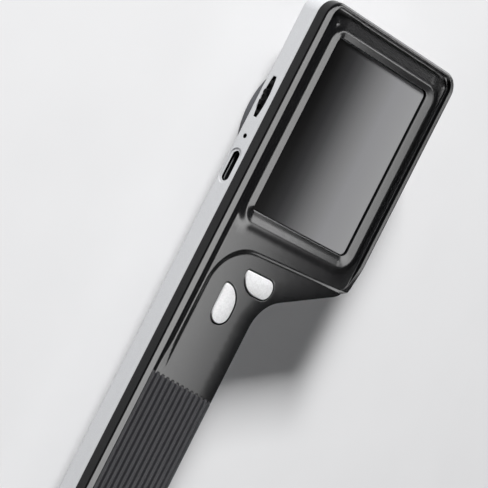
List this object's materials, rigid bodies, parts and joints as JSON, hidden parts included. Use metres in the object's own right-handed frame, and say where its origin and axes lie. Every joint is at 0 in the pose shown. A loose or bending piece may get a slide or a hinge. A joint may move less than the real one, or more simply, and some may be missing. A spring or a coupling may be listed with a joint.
{
  "type": "handheld digital microscope",
  "caption": "Handheld digital microscope: screen head with a round lens hood behind it, side focus wheel, two push keys and a straight ribbed handle.",
  "frame": {"origin": "centre of the box round the whole, at the lens hood's rim (its lowest level)", "axes": "+Y up the handle to the head, +Z out of the screen, +X to the right of someone reading the screen"},
  "size_m": [0.0632, 0.192, 0.0213],
  "materials": {
    "black_plastic": "satin moulded ABS",
    "silver_paint": "satin silver paint over ABS",
    "grip_rubber": "matt ribbed rubber",
    "window_glass": "polished black-backed acrylic window",
    "lcd": "display panel, switched off",
    "steel": "plated steel",
    "amber_film": "polyimide film",
    "board": "solder-masked laminate",
    "dark_plastic": "moulded acetal",
    "hood_plastic": "fine-textured ABS",
    "key_plastic": "fine-textured pale ABS",
    "lens_glass": "coated lens",
    "frosted": "frosted polycarbonate",
    "led": "white LED package",
    "battery_foil": "laminated foil",
    "foam": "adhesive foam",
    "red_lead": "insulated wire",
    "black_lead": "insulated wire"
  },
  "bodies": {
    "case": {"front_shell": "black_plastic", "back_shell": "silver_paint", "grip_insert": "grip_rubber", "screen_glass": "window_glass", "lcd_panel": "lcd", "lcd_frame": "steel", "lcd_flex": "amber_film", "main_board": "board", "image_sensor": "dark_plastic", "shield_can": "steel", "key_board": "board", "key_board_cable": "amber_film", "left_key_switch": "steel", "right_key_switch": "steel", "usb_c_socket": "steel", "usb_c_tongue": "dark_plastic", "reset_switch": "dark_plastic", "focus_wheel_axle": "steel", "ring_retainer": "steel", "lens_hood": "hood_plastic", "led_board": "board", "led_diffuser": "frosted", "led_1": "led", "led_2": "led", "led_3": "led", "led_4": "led", "led_5": "led", "led_6": "led", "led_7": "led", "led_8": "led", "battery_pack": "battery_foil", "battery_foam_pad": "foam", "battery_connector": "key_plastic", "battery_lead_red": "red_lead", "battery_lead_black": "black_lead", "case_screw_1": "steel", "case_screw_2": "steel", "case_screw_3": "steel", "case_screw_4": "steel", "case_screw_5": "steel", "case_screw_6": "steel", "hood_screw_1": "steel", "hood_screw_2": "steel", "hood_screw_3": "steel", "hood_screw_4": "steel"},
    "left_key": {"left_key": "key_plastic", "left_key_plunger": "dark_plastic"},
    "right_key": {"right_key": "key_plastic", "right_key_plunger": "dark_plastic"},
    "reset_button": {"reset_plunger": "dark_plastic"},
    "thumbwheel": {"focus_thumbwheel": "dark_plastic"},
    "focus_ring": {"focus_ring_gear": "dark_plastic"},
    "lens_cell": {"lens_barrel": "dark_plastic", "front_lens": "lens_glass", "rear_lens": "lens_glass", "lens_retaining_ring": "dark_plastic"}
  },
  "joints": [
    {"name": "left_key_press", "type": "slide", "parent": "case", "child": "left_key", "axis": [0, 0, -1], "range_m": [0, 0.0004], "stiffness_N_per_m": 500},
    {"name": "right_key_press", "type": "slide", "parent": "case", "child": "right_key", "axis": [0, 0, -1], "range_m": [0, 0.0004], "stiffness_N_per_m": 500},
    {"name": "reset_press", "type": "slide", "parent": "case", "child": "reset_button", "axis": [1, 0, 0], "range_m": [0, 0.0003], "stiffness_N_per_m": 400},
    {"name": "barrel_slide", "type": "slide", "parent": "case", "child": "lens_cell", "axis": [0, 0, 1], "range_m": [-0.00148, 0.00148]},
    {"name": "focus_ring_turn", "type": "hinge", "parent": "case", "child": "focus_ring", "pos_m": [0.00046, 0.06, 0.0143], "axis": [0, 0, 1], "range_deg": [-155, 155]},
    {"name": "thumbwheel_turn", "type": "hinge", "parent": "case", "child": "thumbwheel", "pos_m": [-0.02089, 0.063, 0.0143], "axis": [0, 0, 1], "range_deg": [-170, 170]}
  ],
  "couplings": [
    {"joint": "focus_ring_turn", "follows": "barrel_slide", "rad_per_m": -1818.2},
    {"joint": "thumbwheel_turn", "follows": "barrel_slide", "rad_per_m": 2000}
  ]
}
